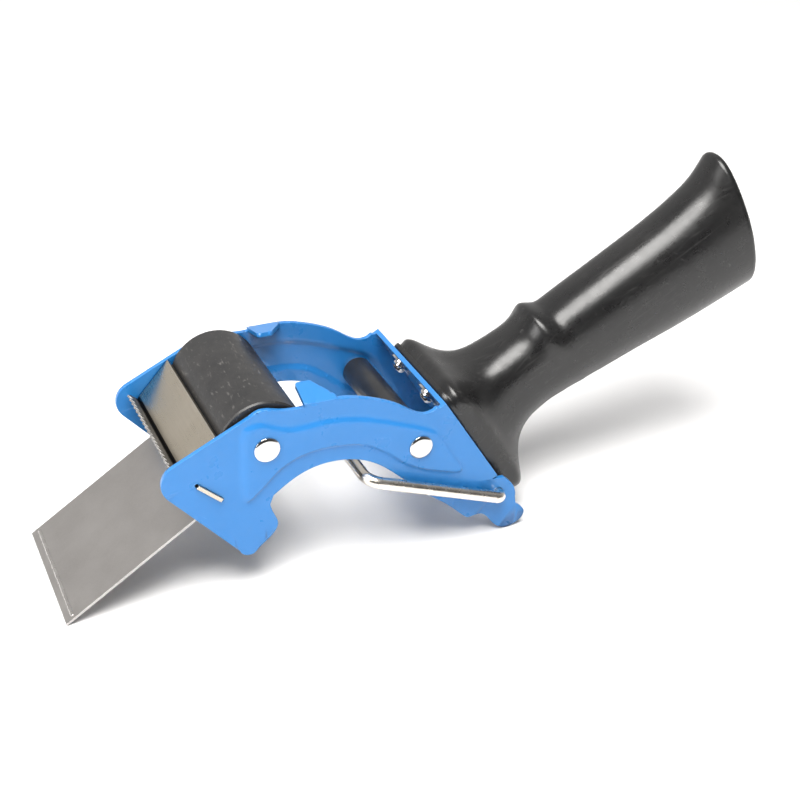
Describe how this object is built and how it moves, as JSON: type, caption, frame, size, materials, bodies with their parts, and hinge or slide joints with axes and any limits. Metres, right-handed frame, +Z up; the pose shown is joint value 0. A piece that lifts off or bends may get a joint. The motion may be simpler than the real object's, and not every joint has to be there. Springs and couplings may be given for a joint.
{
  "type": "tape dispenser",
  "caption": "Hand-held packing tape dispenser: folded steel frame with guide rollers, toothed blade, flat wiper, swinging wire bail for the tape core and a moulded handle.",
  "frame": {"origin": "middle of the bounding box footprint, on the table that the tool rests on", "axes": "+X from the wiper towards the handle, +Y across the tool, +Z up, standing on the wiper edge and the rear lobes of the side plates"},
  "size_m": [0.2471, 0.0672, 0.1081],
  "materials": {
    "blue_paint": "semi-gloss paint",
    "nickel_plate": "satin nickel",
    "blade_steel": "hardened, satin",
    "bright_steel": "bright zinc",
    "satin_steel": "satin",
    "roller_rubber": "matte, scuffed",
    "black_moulding": "matte",
    "bush_plastic": "matte",
    "bright_wire": "polished nickel",
    "handle_plastic": "semi-gloss moulded",
    "brass_insert": "turned"
  },
  "bodies": {
    "body": {"frame": "blue_paint", "guide_plate": "nickel_plate", "cutter_blade": "blade_steel", "blade_rivets": "bright_steel", "wiper": "satin_steel", "wiper_rivets": "bright_steel", "front_axle": "bright_steel", "rear_axle": "bright_steel", "front_spacers": "bush_plastic", "rear_spacers": "bush_plastic", "handle": "handle_plastic", "handle_inserts": "brass_insert", "handle_washers": "bright_steel", "handle_screws": "bright_steel"},
    "front_roller": {"front_roller_sleeve": "roller_rubber", "front_roller_core": "black_moulding", "front_roller_bushes": "bush_plastic"},
    "rear_roller": {"rear_roller": "black_moulding"},
    "bail": {"bail_wire": "bright_wire"}
  },
  "joints": [
    {"name": "front_roller_spin", "type": "hinge", "parent": "body", "child": "front_roller", "pos_m": [-0.05906, 0, 0.0483], "axis": [0, 1, 0], "continuous": true},
    {"name": "rear_roller_spin", "type": "hinge", "parent": "body", "child": "rear_roller", "pos_m": [-0.00906, 0, 0.038], "axis": [0, 1, 0], "continuous": true},
    {"name": "bail_swing", "type": "hinge", "parent": "body", "child": "bail", "pos_m": [0.01854, 0, 0.014], "axis": [0, 1, 0], "range_deg": [-190, 3]}
  ]
}
